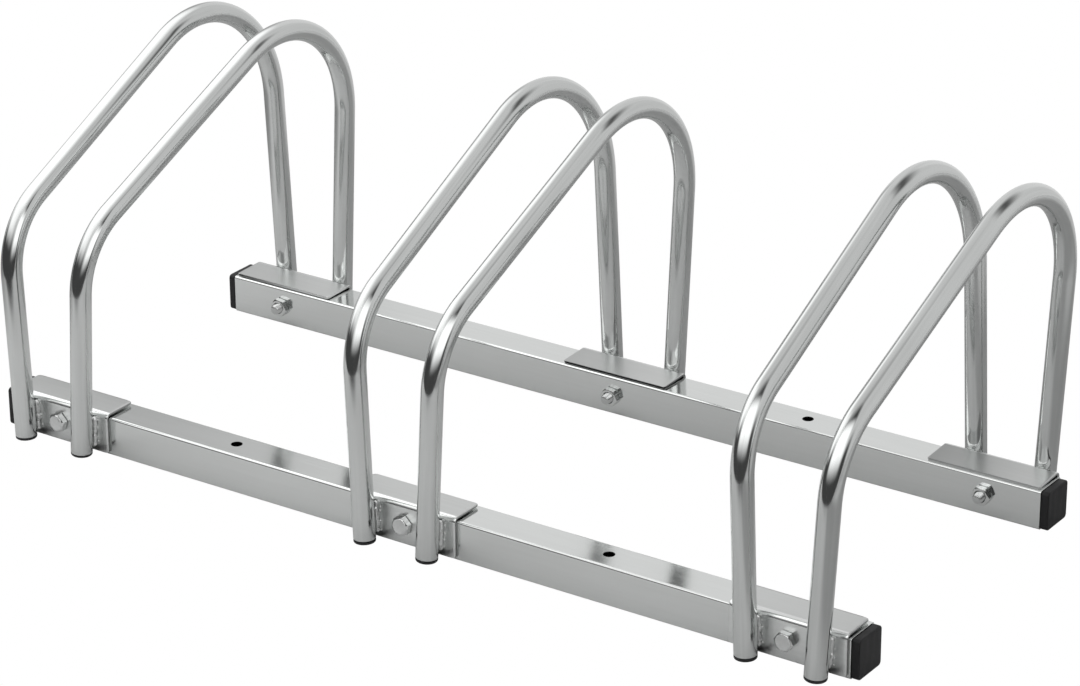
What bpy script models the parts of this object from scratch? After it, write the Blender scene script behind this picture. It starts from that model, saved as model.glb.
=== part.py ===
"""Bike parking stand for three wheels: two square-tube rails carry three wheel holders.

Each holder is a pair of bent round-tube hoops that spread towards the top. Every hoop leg is
welded to an L bracket, and each bracket is bolted through its rail. +X runs along the rails,
+Y towards the taller rear side and +Z is up. The origin is the middle of the stand's base.
"""

import bmesh
import bpy
from math import atan2, cos, pi, radians, sin, tan
from mathutils import Matrix, Vector

MM = 0.001

# Rails: square tube, lying on the floor
RAIL_SIZE = 30.0 * MM
RAIL_WALL = 1.5 * MM
RAIL_CORNER = 2.0 * MM
RAIL_LENGTH = 717.4 * MM

# Wheel holders
HOLDER_PITCH = 311.0 * MM
HOLDERS = ("left", "middle", "right")

# Hoops: round tube bent flat, then leaned outward
TUBE_D = 16.0 * MM
TUBE_WALL = 1.2 * MM
TUBE_SIDES = 16
LEG_SPAN = 315.0 * MM  # front leg to rear leg, centre to centre
LEG_PAIR = 53.0 * MM  # the two legs of a holder, centre to centre at floor level
LEG_SHIFT = 1.8 * MM  # how far the middle of the two legs is right of the middle of their bracket
HOOP_LEAN = radians(2.7)  # outward lean of each hoop
FRONT_CORNER_H = 166.0 * MM  # height where front leg and slope would meet without the bend
REAR_CORNER_H = 311.0 * MM  # height where slope and rear leg would meet without the bend
FRONT_BEND_R = 60.0 * MM  # centreline radius
REAR_BEND_R = 87.0 * MM
FRONT_BEND_STEPS = 5
REAR_BEND_STEPS = 9
LEG_END_H = 3.0 * MM  # lower edge of the tube above the floor
FRONT_TILT = radians(0.85)  # the front legs slant forward to their feet

# L brackets
PLATE = 2.0 * MM
BRACKET_LENGTH = 90.0 * MM
BRACKET_LIFT = 0.8 * MM  # further gap between the top flange and the rail
BRACKET_DROP = 31.0 * MM  # outer height of the upright flange
BRACKET_DEPTH = {"front": 29.0 * MM, "rear": 31.4 * MM}  # outer length of the top flange
BRACKET_BEND_R = 3.2 * MM  # outer radius of the fold
BRACKET_CORNER = 2.0 * MM
GAP = 0.3 * MM  # between pieces that touch

# Weld seams, one on each side of each leg
SEAM_R = {"front": 2.0 * MM, "rear": 1.7 * MM}
SEAM_OFFSET = {"front": 4.9 * MM, "rear": 6.9 * MM}  # from the leg's centre line
SEAM_DEPTH = {"front": -0.9 * MM, "rear": 0.9 * MM}  # seam centre outside an upright leg's flange

# Fasteners, M8
BOLT_D = 8.0 * MM
BOLT_HOLE_D = 8.6 * MM
BOLT_LENGTH = 43.4 * MM
HEX_FLATS = 13.0 * MM
HEX_CHAMFER_R = 6.2 * MM  # where the chamfer starts on the flat end of a head or nut
HEAD_H = 5.3 * MM
NUT_H = 5.0 * MM
BOLT_H = 17.0 * MM  # height of the front bolts' axes
# How far each bolt is right of the middle of its bracket: left, middle and right holder
BOLT_SHIFT = {"front": (-0.2 * MM, 1.4 * MM, 0.0), "rear": (-0.2 * MM, -0.2 * MM, 1.8 * MM)}
# How far each bolt is above BOLT_H
BOLT_LIFT = {"front": (0.0, 0.0, 0.0), "rear": (-2.0 * MM, -2.2 * MM, -0.8 * MM)}
HOLE_SIDES = 16
HEX_STEPS = 12  # points round a hex, its corners and the middles of its sides

# Holes for screwing the stand down
ANCHOR_D = 8.5 * MM
ANCHOR_X = 160.0 * MM
ANCHOR_BACK = 1.0 * MM  # the holes are this far behind the rails' centre lines

# Rail caps and leg plugs, pressed-in plastic
CAP_SIZE = 29.4 * MM
CAP_FLANGE = 5.3 * MM
CAP_CORNER = 3.0 * MM
CAP_EDGE = 1.0 * MM
CAP_STEM = 12.0 * MM
CAP_STEM_WALL = 2.0 * MM
PLUG_RIM = 2.0 * MM
PLUG_STEM = 9.0 * MM
PLUG_STEM_WALL = 2.0 * MM
PLUG_SIDES = 14

# Positions that follow from the sizes above
LEG_CLEAR = GAP + PLATE + GAP  # rail face to the near side of a leg
LEG_Y = LEG_SPAN / 2
FOOT_OUT = (FRONT_CORNER_H - LEG_END_H) * tan(FRONT_TILT)  # front feet, forward of upright legs
CENTRE_Y = 1.2 * MM  # moves the rows of legs so that the origin is mid-footprint
RAIL_IN = TUBE_D / 2 + LEG_CLEAR  # leg centre to the rail's outer face
BRACKET_TOP = RAIL_SIZE + GAP + BRACKET_LIFT + PLATE


def clear_scene():
    for obj in list(bpy.data.objects):
        bpy.data.objects.remove(obj, do_unlink=True)


def make_material(name, color, metallic, roughness):
    material = bpy.data.materials.new(name)
    material.use_nodes = True
    shader = material.node_tree.nodes["Principled BSDF"]
    shader.inputs["Base Color"].default_value = (*color, 1.0)
    shader.inputs["Metallic"].default_value = metallic
    shader.inputs["Roughness"].default_value = roughness
    material.diffuse_color = (*color, 1.0)
    return material


def to_mesh(bm, name, smooth_angle=None):
    """Turn the bmesh into mesh data with its faces pointing out."""
    bmesh.ops.recalc_face_normals(bm, faces=bm.faces)
    mesh = bpy.data.meshes.new(name)
    bm.to_mesh(mesh)
    bm.free()
    if smooth_angle is not None:
        mesh.shade_smooth()
        mesh.set_sharp_from_angle(angle=smooth_angle)
    return mesh


def add_object(name, mesh, material, location=(0, 0, 0), rotation=(0, 0, 0), parent=None):
    obj = bpy.data.objects.new(name, mesh)
    if material is not None and not mesh.materials:
        mesh.materials.append(material)
    obj.location = location
    obj.rotation_euler = rotation
    obj.parent = parent
    bpy.context.scene.collection.objects.link(obj)
    return obj


def add_empty(name, location=(0, 0, 0), rotation=(0, 0, 0)):
    empty = bpy.data.objects.new(name, None)
    empty.empty_display_size = 0.02
    empty.location = location
    empty.rotation_euler = rotation
    bpy.context.scene.collection.objects.link(empty)
    return empty


def add_cutter(name, mesh, location, parent):
    cutter = add_object(name, mesh, None, location, parent=parent)
    cutter.hide_render = True
    cutter.display_type = "WIRE"
    return cutter


def boolean(obj, name, operation, cutter):
    modifier = obj.modifiers.new(name, "BOOLEAN")
    modifier.operation = operation
    modifier.solver = "EXACT"
    modifier.object = cutter


def rounded_square(bm, side, corner, steps, plane_x):
    """Vertices of a square with rounded corners in the plane x = plane_x, in order round it."""
    verts = []
    half = side / 2 - corner
    for quarter, (sy, sz) in enumerate(((1, 1), (-1, 1), (-1, -1), (1, -1))):
        for step in range(steps + 1):
            angle = pi / 2 * (quarter + step / steps)
            y = sy * half + corner * cos(angle)
            z = sz * half + corner * sin(angle)
            verts.append(bm.verts.new((plane_x, y, z)))
    return verts


def add_rod(bm, radius, start, end, sides=HOLE_SIDES):
    """A closed round rod between two points."""
    start, end = Vector(start), Vector(end)
    turn = (end - start).to_track_quat("Z", "Y").to_matrix().to_4x4()
    bmesh.ops.create_cone(
        bm,
        cap_ends=True,
        segments=sides,
        radius1=radius,
        radius2=radius,
        depth=(end - start).length,
        matrix=Matrix.Translation((start + end) / 2) @ turn,
    )


# ---------------------------------------------------------------- rails


def rail_mesh():
    """Open-ended square tube along X with its centre at the origin."""
    bm = bmesh.new()
    loops = []
    inner_side = RAIL_SIZE - 2 * RAIL_WALL
    for side, corner in ((RAIL_SIZE, RAIL_CORNER), (inner_side, RAIL_CORNER - RAIL_WALL)):
        ring = rounded_square(bm, side, corner, 2, -RAIL_LENGTH / 2)
        loops.append([bm.edges.new((ring[i], ring[i - 1])) for i in range(len(ring))])
    section = bmesh.ops.bridge_loops(bm, edges=loops[0] + loops[1])["faces"]
    moved = bmesh.ops.extrude_face_region(bm, geom=section)["geom"]
    moved = [item for item in moved if isinstance(item, bmesh.types.BMVert)]
    bmesh.ops.translate(bm, verts=moved, vec=(RAIL_LENGTH, 0, 0))
    return to_mesh(bm, "rail", radians(40))


def rail_holes_mesh(side, facing):
    """Bolt holes across the rail and anchor holes down through it."""
    bm = bmesh.new()
    reach = RAIL_SIZE
    for index in range(3):
        x = facing * ((index - 1) * HOLDER_PITCH + BOLT_SHIFT[side][index])
        z = BOLT_H + BOLT_LIFT[side][index] - RAIL_SIZE / 2
        add_rod(bm, BOLT_HOLE_D / 2, (x, -reach, z), (x, reach, z))
    for end in (-1, 1):
        x = end * ANCHOR_X
        y = facing * ANCHOR_BACK
        add_rod(bm, ANCHOR_D / 2, (x, y, -reach), (x, y, reach))
    return to_mesh(bm, f"{side}_rail_holes")


# ---------------------------------------------------------------- plastic end pieces


def rail_cap_mesh():
    """Cap with its flange on the +X side of x = 0 and a hollow stem inside the rail."""
    bm = bmesh.new()
    stem_side = RAIL_SIZE - 2 * RAIL_WALL - 2 * GAP
    stem_end = -CAP_STEM

    back = rounded_square(bm, CAP_SIZE, CAP_CORNER, 3, GAP)
    rim = rounded_square(bm, CAP_SIZE, CAP_CORNER, 3, CAP_FLANGE - CAP_EDGE)
    face = rounded_square(
        bm, CAP_SIZE - 2 * CAP_EDGE, CAP_CORNER - CAP_EDGE, 3, CAP_FLANGE
    )
    stem_root = rounded_square(bm, stem_side, 1.0 * MM, 3, GAP)
    stem_tip = rounded_square(bm, stem_side, 1.0 * MM, 3, stem_end)
    hollow_side = stem_side - 2 * CAP_STEM_WALL
    hollow_tip = rounded_square(bm, hollow_side, 0.5 * MM, 3, stem_end)
    hollow_root = rounded_square(bm, hollow_side, 0.5 * MM, 3, GAP)
    chain = (face, rim, back, stem_root, stem_tip, hollow_tip, hollow_root)
    for first, second in zip(chain, chain[1:]):
        for i in range(len(first)):
            bm.faces.new((first[i - 1], first[i], second[i], second[i - 1]))
    bm.faces.new(face)
    bm.faces.new(hollow_root)
    return to_mesh(bm, "rail_cap", radians(35))


def turned_mesh(name, profile, sides):
    """Solid of revolution about Z from (radius, height) points that start and end on the axis."""
    bm = bmesh.new()
    verts = [bm.verts.new((radius, 0, height)) for radius, height in profile]
    edges = [bm.edges.new(pair) for pair in zip(verts, verts[1:])]
    bmesh.ops.spin(
        bm,
        geom=verts + edges,
        cent=(0, 0, 0),
        axis=(0, 0, 1),
        angle=2 * pi,
        steps=sides,
        use_merge=True,
    )
    bmesh.ops.remove_doubles(bm, verts=bm.verts, dist=1e-6)
    return to_mesh(bm, name, radians(40))


def leg_plug_mesh():
    """Plug for a tube end whose rim is below z = 0; the stem goes up into the tube."""
    outer = TUBE_D / 2
    stem = TUBE_D / 2 - TUBE_WALL - GAP
    hollow = stem - PLUG_STEM_WALL
    return turned_mesh(
        "leg_plug",
        (
            (0, -PLUG_RIM),
            (outer - 0.7 * MM, -PLUG_RIM),
            (outer, -PLUG_RIM + 0.7 * MM),
            (outer, -GAP),
            (stem, -GAP),
            (stem, PLUG_STEM),
            (hollow, PLUG_STEM),
            (hollow, 0),
            (0, 0),
        ),
        PLUG_SIDES,
    )


# ---------------------------------------------------------------- brackets


def bracket_mesh(side, depth):
    """L bracket. y = 0 is the outer face of the upright flange, and the top flange goes to +Y."""
    bm = bmesh.new()
    outer, inner = BRACKET_BEND_R, BRACKET_BEND_R - PLATE
    top, bottom = BRACKET_TOP, BRACKET_TOP - BRACKET_DROP
    steps = 4
    arc = [pi - pi / 2 * step / steps for step in range(steps + 1)]
    outline = [(0, bottom)]
    outline += [(outer + outer * cos(a), top - outer + outer * sin(a)) for a in arc]
    outline += [(depth, top), (depth, top - PLATE)]
    outline += [
        (outer + inner * cos(a), top - outer + inner * sin(a)) for a in reversed(arc)
    ]
    outline += [(PLATE, bottom)]
    ring = [bm.verts.new((-BRACKET_LENGTH / 2, y, z)) for y, z in outline]
    face = bm.faces.new(ring)
    moved = bmesh.ops.extrude_face_region(bm, geom=[face])["geom"]
    moved = [item for item in moved if isinstance(item, bmesh.types.BMVert)]
    bmesh.ops.translate(bm, verts=moved, vec=(BRACKET_LENGTH, 0, 0))
    corners = [
        edge
        for edge in bm.edges
        if abs(abs(edge.verts[0].co.x) - BRACKET_LENGTH / 2) < 1e-6
        and abs(edge.verts[0].co.x - edge.verts[1].co.x) < 1e-6
        and abs(edge.calc_length() - PLATE) < 1e-5
        and (
            abs(edge.verts[0].co.z - bottom) < 1e-6 or abs(edge.verts[0].co.y - depth) < 1e-6
        )
    ]
    bmesh.ops.bevel(
        bm, geom=corners, offset=BRACKET_CORNER, segments=2, profile=0.5, affect="EDGES"
    )
    return to_mesh(bm, f"{side}_bracket", radians(40))


def leg_out(row, z):
    """How far a leg's centre line at height z is outside that of an upright leg."""
    return (FRONT_CORNER_H - z) * tan(FRONT_TILT) if row == "front" else 0.0


def bracket_hole_mesh():
    bm = bmesh.new()
    add_rod(bm, BOLT_HOLE_D / 2, (0, -4 * PLATE, BOLT_H), (0, 3 * PLATE, BOLT_H))
    return to_mesh(bm, "bracket_hole")


def weld_seams_mesh(row):
    """Seams beside both legs, leaning with them, from just above the flange's lower edge."""
    bm = bmesh.new()
    low = BRACKET_TOP - BRACKET_DROP + 1.2 * MM
    high = BRACKET_TOP - BRACKET_BEND_R
    for leg in (-1, 1):
        for side in (-1, 1):
            ends = [
                (
                    leg * (LEG_PAIR / 2 + z * tan(HOOP_LEAN)) + side * SEAM_OFFSET[row],
                    -SEAM_DEPTH[row] - leg_out(row, z),
                    z,
                )
                for z in (low, high)
            ]
            add_rod(bm, SEAM_R[row], ends[0], ends[1], sides=8)
    return to_mesh(bm, f"{row}_weld_seams")


# ---------------------------------------------------------------- hoops


def hoop_mesh():
    """Outer skin of one hoop in the plane x = 0: front leg at -Y, slope, top bend, rear leg."""
    slope = atan2(REAR_CORNER_H - FRONT_CORNER_H, LEG_SPAN)
    front_turn = pi / 2 - FRONT_TILT - slope
    rear_turn = pi / 2 + slope
    front_trim = FRONT_BEND_R * tan(front_turn / 2)
    rear_trim = REAR_BEND_R * tan(rear_turn / 2)

    bm = bmesh.new()
    ring = bmesh.ops.create_circle(
        bm,
        segments=TUBE_SIDES,
        radius=TUBE_D / 2,
        matrix=Matrix.Translation((0, -LEG_Y - FOOT_OUT, LEG_END_H))
        @ Matrix.Rotation(-FRONT_TILT, 4, "X"),
    )["verts"]
    edges = list({edge for vert in ring for edge in vert.link_edges})

    def run(edges, direction, length):
        """Pull the open end of the tube straight on."""
        grown = bmesh.ops.extrude_edge_only(bm, edges=edges)["geom"]
        moved = [item for item in grown if isinstance(item, bmesh.types.BMVert)]
        bmesh.ops.translate(bm, verts=moved, vec=direction * length)
        return [item for item in grown if isinstance(item, bmesh.types.BMEdge)]

    def bend(edges, centre, turn, steps):
        """Turn the open end of the tube about an axis along X."""
        verts = list({vert for edge in edges for vert in edge.verts})
        grown = bmesh.ops.spin(
            bm,
            geom=verts + edges,
            cent=centre,
            axis=(1, 0, 0),
            angle=-turn,
            steps=steps,
        )["geom_last"]
        return [item for item in grown if isinstance(item, bmesh.types.BMEdge)]

    up, down = Vector((0, sin(FRONT_TILT), cos(FRONT_TILT))), Vector((0, 0, -1))
    inward = Vector((0, cos(FRONT_TILT), -sin(FRONT_TILT)))
    along = Vector((0, cos(slope), sin(slope)))
    leg_length = (FRONT_CORNER_H - LEG_END_H) / cos(FRONT_TILT) - front_trim
    front_centre = Vector((0, -LEG_Y, FRONT_CORNER_H)) - up * front_trim + inward * FRONT_BEND_R
    rear_bend_z = REAR_CORNER_H - rear_trim
    slope_length = LEG_SPAN / cos(slope) - front_trim - rear_trim

    edges = run(edges, up, leg_length)
    edges = bend(edges, front_centre, front_turn, FRONT_BEND_STEPS)
    edges = run(edges, along, slope_length)
    edges = bend(edges, (0, LEG_Y - REAR_BEND_R, rear_bend_z), rear_turn, REAR_BEND_STEPS)
    run(edges, down, rear_bend_z - LEG_END_H)
    return to_mesh(bm, "hoop", radians(50))


# ---------------------------------------------------------------- fasteners


def round_ring(bm, radius, y):
    angles = [2 * pi * i / HEX_STEPS for i in range(HEX_STEPS)]
    return [bm.verts.new((radius * cos(a), y, radius * sin(a))) for a in angles]


def hex_ring(bm, y, chamfer=0):
    """Points round a hex at height y; chamfer is -1 or +1 at the end that is coned off."""
    verts = []
    for i in range(HEX_STEPS):
        angle = 2 * pi * i / HEX_STEPS
        radius = HEX_FLATS / 2 / cos((angle + pi / 6) % (pi / 3) - pi / 6)
        drop = (radius - HEX_CHAMFER_R) * tan(radians(30))
        verts.append(bm.verts.new((radius * cos(angle), y - chamfer * drop, radius * sin(angle))))
    return verts


def join_rings(bm, rings, closed=False):
    """Faces between neighbouring rings, with flat ends unless the last meets the first."""
    pairs = list(zip(rings, rings[1:]))
    if closed:
        pairs.append((rings[-1], rings[0]))
    else:
        bm.faces.new(rings[0])
        bm.faces.new(rings[-1])
    for first, second in pairs:
        for i in range(len(first)):
            bm.faces.new((first[i - 1], first[i], second[i], second[i - 1]))


def bolt_mesh():
    """Hex bolt along +Y: the underside of its head is at y = 0 and the head is on the -Y side."""
    bm = bmesh.new()
    tip = 1.0 * MM
    join_rings(
        bm,
        [
            round_ring(bm, HEX_CHAMFER_R, -HEAD_H),
            hex_ring(bm, -HEAD_H, chamfer=-1),
            hex_ring(bm, 0),
            round_ring(bm, BOLT_D / 2, 0),
            round_ring(bm, BOLT_D / 2, BOLT_LENGTH - tip),
            round_ring(bm, BOLT_D / 2 - tip, BOLT_LENGTH),
        ],
    )
    return to_mesh(bm, "bolt", radians(25))


def nut_mesh():
    """Hex nut from y = 0 to y = NUT_H, chamfered at both ends."""
    bm = bmesh.new()
    join_rings(
        bm,
        [
            round_ring(bm, HEX_CHAMFER_R, 0),
            hex_ring(bm, 0, chamfer=-1),
            hex_ring(bm, NUT_H, chamfer=1),
            round_ring(bm, HEX_CHAMFER_R, NUT_H),
            round_ring(bm, BOLT_HOLE_D / 2, NUT_H),
            round_ring(bm, BOLT_HOLE_D / 2, 0),
        ],
        closed=True,
    )
    return to_mesh(bm, "nut", radians(25))


# ---------------------------------------------------------------- the stand


def build():
    clear_scene()
    zinc_rail = make_material("zinc_rail", (0.56, 0.57, 0.56), 1.0, 0.34)
    zinc_plate = make_material("zinc_plate", (0.58, 0.59, 0.58), 1.0, 0.36)
    zinc_tube = make_material("zinc_tube", (0.60, 0.61, 0.61), 1.0, 0.26)
    zinc_bolt = make_material("zinc_bolt", (0.66, 0.67, 0.67), 1.0, 0.30)
    black_cap = make_material("black_cap", (0.022, 0.022, 0.024), 0.0, 0.55)
    black_plug = make_material("black_plug", (0.018, 0.018, 0.020), 0.0, 0.60)

    # Each side has a frame whose +Y points from the legs to the middle of the stand, so that
    # one rail, bolt and nut shape serves both: the rear side is the front side turned round.
    sides = {
        "front": add_empty("front_side", (0, CENTRE_Y - LEG_Y, 0), (0, 0, 0)),
        "rear": add_empty("rear_side", (0, CENTRE_Y + LEG_Y, 0), (0, 0, pi)),
    }
    rail, cap, bracket_hole = rail_mesh(), rail_cap_mesh(), bracket_hole_mesh()
    bolt, nut = bolt_mesh(), nut_mesh()
    plug, hoop = leg_plug_mesh(), hoop_mesh()

    for side, frame in sides.items():
        facing = 1 if side == "front" else -1  # the rear frame's +X points left
        rail_at = (0, RAIL_IN + RAIL_SIZE / 2, RAIL_SIZE / 2)
        rail_obj = add_object(f"{side}_rail", rail, zinc_rail, rail_at, parent=frame)
        rail_holes = rail_holes_mesh(side, facing)
        holes = add_cutter(f"{side}_rail_holes", rail_holes, rail_at, frame)
        boolean(rail_obj, "holes", "DIFFERENCE", holes)

        for end, sign in (("left", -facing), ("right", facing)):
            add_object(
                f"{side}_rail_cap_{end}",
                cap,
                black_cap,
                (sign * RAIL_LENGTH / 2, *rail_at[1:]),
                (0, 0, 0 if sign > 0 else pi),
                parent=frame,
            )

        bracket, seams = bracket_mesh(side, BRACKET_DEPTH[side]), weld_seams_mesh(side)
        for index, holder in enumerate(HOLDERS):
            x = (index - 1) * HOLDER_PITCH * facing
            plate_at = (x, RAIL_IN - GAP - PLATE, 0)
            name = f"{side}_bracket_{holder}"
            bracket_obj = add_object(name, bracket, zinc_plate, plate_at, parent=frame)
            seams_at = (x + LEG_SHIFT * facing, *plate_at[1:])
            seam_obj = add_cutter(f"{name}_seams", seams, seams_at, frame)
            bolt_x = x + BOLT_SHIFT[side][index] * facing
            bolt_lift = BOLT_LIFT[side][index]
            hole_at = (bolt_x, plate_at[1], bolt_lift)
            hole_obj = add_cutter(f"{name}_hole", bracket_hole, hole_at, frame)
            boolean(bracket_obj, "seams", "UNION", seam_obj)
            boolean(bracket_obj, "hole", "DIFFERENCE", hole_obj)

            bolt_z = BOLT_H + bolt_lift
            head_at = (bolt_x, plate_at[1] - GAP, bolt_z)
            nut_at = (bolt_x, RAIL_IN + RAIL_SIZE + GAP, bolt_z)
            add_object(f"{side}_bolt_{holder}", bolt, zinc_bolt, head_at, parent=frame)
            add_object(f"{side}_nut_{holder}", nut, zinc_bolt, nut_at, parent=frame)

    for index, holder in enumerate(HOLDERS):
        for which, sign in (("left", -1), ("right", 1)):
            # A hoop leans about the line that joins its two legs at floor level
            name = f"{holder}_holder_{which}_hoop"
            frame = add_empty(
                f"{name}_lean",
                ((index - 1) * HOLDER_PITCH + LEG_SHIFT + sign * LEG_PAIR / 2, CENTRE_Y, 0),
                (0, sign * HOOP_LEAN, 0),
            )
            hoop_obj = add_object(name, hoop, zinc_tube, parent=frame)
            wall = hoop_obj.modifiers.new("wall", "SOLIDIFY")
            wall.thickness = TUBE_WALL
            wall.offset = -1.0
            wall.use_even_offset = True
            for side, y, tilt in (("front", -LEG_Y - FOOT_OUT, FRONT_TILT), ("rear", LEG_Y, 0)):
                add_object(
                    f"{name}_{side}_plug",
                    plug,
                    black_plug,
                    (0, y, LEG_END_H),
                    (-tilt, 0, 0),
                    parent=frame,
                )

    bpy.context.view_layer.update()


build()
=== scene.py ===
"""Looks of the bike parking stand: fine meshes, zinc and plastic finishes, studio light, camera.

Lengths below are in millimetres and become metres when a mesh is made. The fine pieces are
built in the frame of one side of the stand, whose +Y points from the hoop legs to the middle,
and the rear side is that frame turned half a turn about Z.
"""

from math import acos, asin, atan2, ceil, cos, hypot, pi, radians, sin, sqrt, tan

import bmesh
import bpy
import numpy as np
from mathutils import Matrix, Vector
from mathutils import noise


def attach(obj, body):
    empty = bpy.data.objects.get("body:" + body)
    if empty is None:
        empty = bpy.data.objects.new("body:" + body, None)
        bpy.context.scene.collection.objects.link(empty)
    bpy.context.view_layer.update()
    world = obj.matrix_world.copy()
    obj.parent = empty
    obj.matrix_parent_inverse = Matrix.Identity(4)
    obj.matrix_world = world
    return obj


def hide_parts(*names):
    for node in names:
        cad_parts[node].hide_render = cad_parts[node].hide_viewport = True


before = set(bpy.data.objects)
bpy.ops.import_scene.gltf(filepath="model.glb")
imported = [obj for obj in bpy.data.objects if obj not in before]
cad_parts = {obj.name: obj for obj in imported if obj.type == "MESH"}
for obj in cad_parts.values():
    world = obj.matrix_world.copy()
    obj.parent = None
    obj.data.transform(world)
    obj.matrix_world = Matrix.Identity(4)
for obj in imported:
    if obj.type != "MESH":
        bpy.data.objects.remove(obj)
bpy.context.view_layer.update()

MM = 0.001

# The frame's own sizes, in mm
RAIL = 30.0
RAIL_WALL = 1.5
RAIL_CORNER = 2.0
RAIL_LENGTH = 715.6
PITCH = 311.0
HOLDERS = ("left", "middle", "right")
TUBE_R = 8.0
TUBE_WALL = 1.2
LEG_SPAN = 315.0
LEG_PAIR = 53.0
LEG_SHIFT = 1.8
LEAN = radians(2.7)
FRONT_CORNER_H = 166.0
REAR_CORNER_H = 311.0
FRONT_BEND_R = 60.0
REAR_BEND_R = 87.0
LEG_END_H = 3.0
FRONT_TILT = radians(0.85)
FOOT_OUT = (FRONT_CORNER_H - LEG_END_H) * tan(FRONT_TILT)
LEG_Y = LEG_SPAN / 2
CENTRE_Y = 1.2
GAP = 0.3
PLATE = 2.0
RAIL_IN = TUBE_R + GAP + PLATE + GAP
BRACKET_LENGTH = 90.0
BRACKET_LIFT = 0.8
BRACKET_TOP = RAIL + GAP + BRACKET_LIFT + PLATE
BRACKET_LOW = BRACKET_TOP - 31.0
BRACKET_DEPTH = {"front": 29.0, "rear": 31.4}
BRACKET_BEND_R = 3.2
BOLT_H = 17.0
BOLT_R = 4.0
BOLT_LENGTH = 43.4
BOLT_SHIFT = {"front": (-0.2, 1.4, 0.0), "rear": (-0.2, -0.2, 1.8)}
BOLT_LIFT = {"front": (0.0, 0.0, 0.0), "rear": (-2.0, -2.2, -0.8)}
HEX_FLATS = 13.0
HEAD_H = 5.3
NUT_H = 5.0
ANCHOR_R = 4.25
ANCHOR_X = 160.0
ANCHOR_BACK = 1.0
CAP = 29.4
CAP_FLANGE = 6.2
CAP_STEM = 11.0
PLUG_RIM = 2.0
# How far the top of each leg plug is above LEG_END_H, and each plug above its own place: left and right
# hoop
TUBE_RISE = {"left": (0.9, 0.9), "middle": (0.3, 0.5), "right": (1.1, 1.1)}
PLUG_RISE = {"left": (0.6, 0.7), "middle": (0.0, 0.1), "right": (0.0, 0.1)}
PLUG_STEM = 9.0


# ================================================================ mesh helpers


def mesh_of(verts, faces, name):
    """A mesh in metres from vertices in mm and index faces, with faces pointing out."""
    mesh = bpy.data.meshes.new(name)
    mesh.from_pydata([(x * MM, y * MM, z * MM) for x, y, z in verts], [], faces)
    bm = bmesh.new()
    bm.from_mesh(mesh)
    bmesh.ops.recalc_face_normals(bm, faces=bm.faces)
    bm.to_mesh(mesh)
    bm.free()
    return mesh


def loft(rings, close_ring=True, caps=(True, True), wrap=False):
    """Vertices and quad faces through rings that all have the same number of points."""
    verts, faces = [], []
    n = len(rings[0])
    for ring in rings:
        verts.extend(ring)
    pairs = list(zip(range(len(rings) - 1), range(1, len(rings))))
    if wrap:
        pairs.append((len(rings) - 1, 0))
    last = n if close_ring else n - 1
    for a, b in pairs:
        for i in range(last):
            j = (i + 1) % n
            faces.append((a * n + i, a * n + j, b * n + j, b * n + i))
    if not wrap:
        if caps[0]:
            faces.append(tuple(range(n - 1, -1, -1)))
        if caps[1]:
            faces.append(tuple((len(rings) - 1) * n + i for i in range(n)))
    return verts, faces


def shade(mesh, angle_deg=35.0):
    mesh.shade_smooth()
    mesh.set_sharp_from_angle(angle=radians(angle_deg))
    return mesh


def place(mesh, name, location=(0, 0, 0), turn=0.0, matrix=None):
    """A new object whose place is in its mesh, in the stand's own frame."""
    obj = bpy.data.objects.new(name, mesh)
    bpy.context.scene.collection.objects.link(obj)
    if matrix is None:
        x, y, z = location
        matrix = Matrix.Translation((x * MM, y * MM, z * MM)) @ Matrix.Rotation(turn, 4, "Z")
    mesh.transform(matrix)
    return obj


def baked(obj, name=None):
    """Apply the object's modifiers and keep the result as its mesh."""
    bpy.context.view_layer.update()
    graph = bpy.context.evaluated_depsgraph_get()
    made = bpy.data.meshes.new_from_object(obj.evaluated_get(graph))
    old = obj.data
    obj.modifiers.clear()
    obj.data = made
    made.name = name or old.name
    bpy.data.meshes.remove(old)
    return obj


def cut(obj, cutter_meshes, union=()):
    """Cut closed meshes out of an object, or join them to it, and apply the result."""
    cutters = []
    for operation, meshes in (("UNION", union), ("DIFFERENCE", cutter_meshes)):
        for mesh in meshes:
            cutter = bpy.data.objects.new("cutter", mesh)
            bpy.context.scene.collection.objects.link(cutter)
            modifier = obj.modifiers.new(operation, "BOOLEAN")
            modifier.operation = operation
            modifier.solver = "EXACT"
            modifier.object = cutter
            cutters.append(cutter)
    baked(obj)
    for cutter in cutters:
        bpy.data.objects.remove(cutter, do_unlink=True)
    return obj


def weigh_normals(obj, angle_deg=35.0):
    """Smooth shading that leaves large flat faces truly flat."""
    shade(obj.data, angle_deg)
    modifier = obj.modifiers.new("normals", "WEIGHTED_NORMAL")
    modifier.mode = "FACE_AREA"
    modifier.weight = 50
    modifier.keep_sharp = True
    return baked(obj)


def rod(radius, start, end, sides=48, name="rod"):
    start, end = Vector(start), Vector(end)
    bm = bmesh.new()
    turn = (end - start).to_track_quat("Z", "Y").to_matrix().to_4x4()
    bmesh.ops.create_cone(
        bm,
        cap_ends=True,
        segments=sides,
        radius1=radius * MM,
        radius2=radius * MM,
        depth=(end - start).length * MM,
        matrix=Matrix.Translation((start + end) / 2 * MM) @ turn,
    )
    mesh = bpy.data.meshes.new(name)
    bm.to_mesh(mesh)
    bm.free()
    return mesh


def rounded_square(side, corner, steps, x=0.0):
    points = []
    half = side / 2 - corner
    for quarter, (sy, sz) in enumerate(((1, 1), (-1, 1), (-1, -1), (1, -1))):
        for step in range(steps + 1):
            a = pi / 2 * (quarter + step / steps)
            points.append((x, sy * half + corner * cos(a), sz * half + corner * sin(a)))
    return points


# ================================================================ node helpers


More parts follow.
